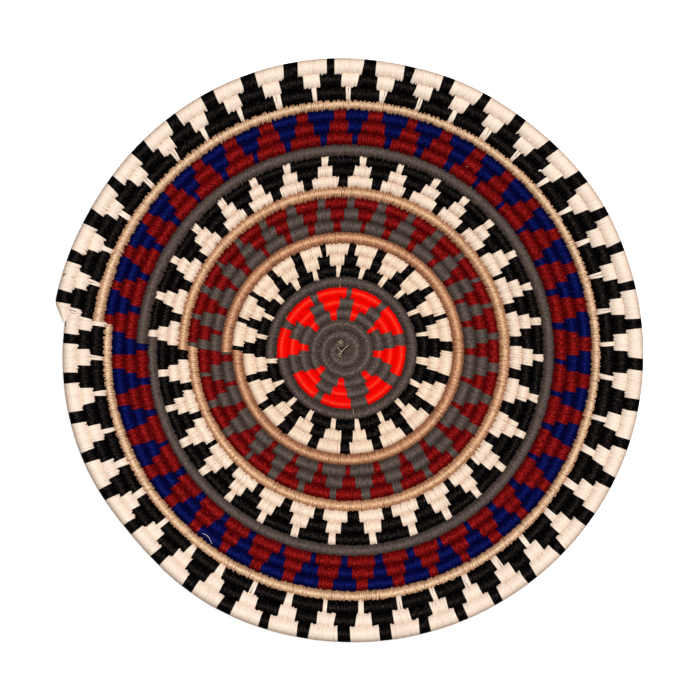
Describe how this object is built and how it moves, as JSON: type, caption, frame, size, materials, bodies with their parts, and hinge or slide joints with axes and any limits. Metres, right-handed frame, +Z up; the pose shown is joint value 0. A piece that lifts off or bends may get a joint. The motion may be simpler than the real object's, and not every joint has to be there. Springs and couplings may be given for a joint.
{
  "type": "round coiled basket tray",
  "caption": "Shallow round basket tray of coiled grass wrapped in coloured yarn, flat in the middle with a low sloping wall and stepped patterns in rings.",
  "frame": {"origin": "middle of the bounding box in plan, on the surface that the tray stands on", "axes": "+Z up out of the dish; +Y is the top of the picture and +X its right, so the colour seam and the coil's tail are near -X"},
  "size_m": [0.3492, 0.3498, 0.0331],
  "materials": {
    "grass": "matte",
    "grey_yarn": "matte",
    "bright_red_yarn": "satin",
    "black_yarn": "satin",
    "tan_yarn": "matte",
    "dark_red_yarn": "matte",
    "cream_yarn": "satin",
    "blue_yarn": "matte"
  },
  "bodies": {
    "root": {"grass_foundation": "grass", "centre_grey_wrap": "grey_yarn", "bright_red_band_wrap": "bright_red_yarn", "inner_grey_ring_wrap": "grey_yarn", "inner_black_band_wrap": "black_yarn", "inner_tan_ring_wrap": "tan_yarn", "dark_red_band_wrap": "dark_red_yarn", "middle_tan_ring_wrap": "tan_yarn", "middle_cream_band_wrap": "cream_yarn", "outer_grey_ring_wrap": "grey_yarn", "blue_band_wrap": "blue_yarn", "outer_tan_ring_wrap": "tan_yarn", "rim_black_band_wrap": "black_yarn"}
  },
  "joints": []
}
